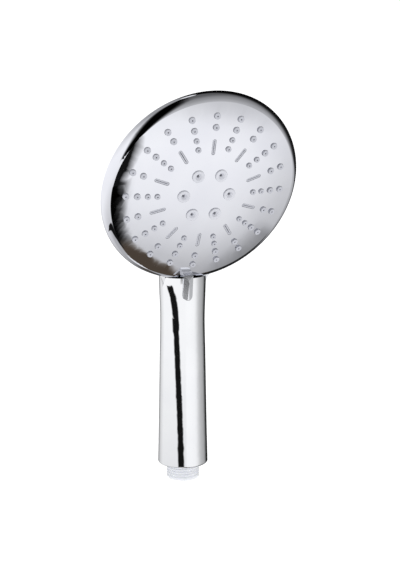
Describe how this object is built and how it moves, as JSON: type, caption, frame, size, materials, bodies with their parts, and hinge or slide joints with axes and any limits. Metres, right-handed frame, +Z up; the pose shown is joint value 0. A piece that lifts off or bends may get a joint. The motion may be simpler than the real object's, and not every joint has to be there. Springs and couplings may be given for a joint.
{
  "type": "handheld shower head",
  "caption": "Handheld shower head with a domed rotating spray face, soft nozzles, a selector lever, a tapered chrome handle and a threaded hose inlet.",
  "frame": {"origin": "centre of the threaded inlet's end face, on the handle's axis", "axes": "+Z up along the handle, from the inlet to the head; the spray face looks towards -Y and a little down; +X is to the right as one looks at the face"},
  "size_m": [0.126, 0.0719, 0.2501],
  "materials": {
    "chrome_shell": "mirror chrome on plastic",
    "face_chrome": "satin-bright chrome on plastic",
    "clear_white_plastic": "milky, slightly translucent",
    "white_plastic": "plain moulded",
    "grey_plastic": "plain moulded",
    "regulator_plastic": "plain moulded",
    "valve_plastic": "plain moulded",
    "jet_plastic": "bright moulded",
    "black_rubber": "soft",
    "grey_silicone": "soft, matte",
    "spring_steel": "bright",
    "strainer_steel": "fine mesh"
  },
  "bodies": {
    "body": {"handle_shell": "chrome_shell", "waterway_tube": "clear_white_plastic", "tube_seals": "black_rubber", "handle_seal": "black_rubber", "inlet_strainer": "strainer_steel", "flow_regulator": "regulator_plastic", "regulator_ring": "black_rubber", "check_valve_housing": "white_plastic", "check_valve_seal": "black_rubber", "check_valve_spring": "spring_steel", "diverter_base": "grey_plastic", "base_screws": "spring_steel", "port_seal": "black_rubber", "port_spring": "spring_steel", "hub_ring": "spring_steel", "hub_seal": "black_rubber", "detent_spring": "spring_steel"},
    "spray_face": {"face_plate": "face_chrome", "selector_lever": "chrome_shell", "nozzle_mat": "grey_silicone", "jet_inserts": "jet_plastic", "spray_plate": "grey_plastic", "turbine_pin": "spring_steel", "chamber_cover": "grey_plastic", "chamber_seal": "black_rubber", "cover_screws": "spring_steel"},
    "turbine": {"massage_turbine": "white_plastic"},
    "check_valve": {"check_valve_poppet": "valve_plastic"}
  },
  "joints": [
    {"name": "face_turn", "type": "hinge", "parent": "body", "child": "spray_face", "pos_m": [0, -0.02478, 0.19328], "axis": [0, -0.9282, -0.3722], "range_deg": [-25, 25], "deforming": ["detent_spring"]},
    {"name": "turbine_spin", "type": "hinge", "parent": "spray_face", "child": "turbine", "pos_m": [0, -0.03109, 0.19075], "axis": [0, -0.9282, -0.3722], "continuous": true},
    {"name": "check_valve_lift", "type": "slide", "parent": "body", "child": "check_valve", "axis": [0, 0, 1], "range_m": [0, 0.0025], "stiffness_N_per_m": 120, "springref_m": -0.002, "deforming": ["check_valve_spring"]}
  ]
}
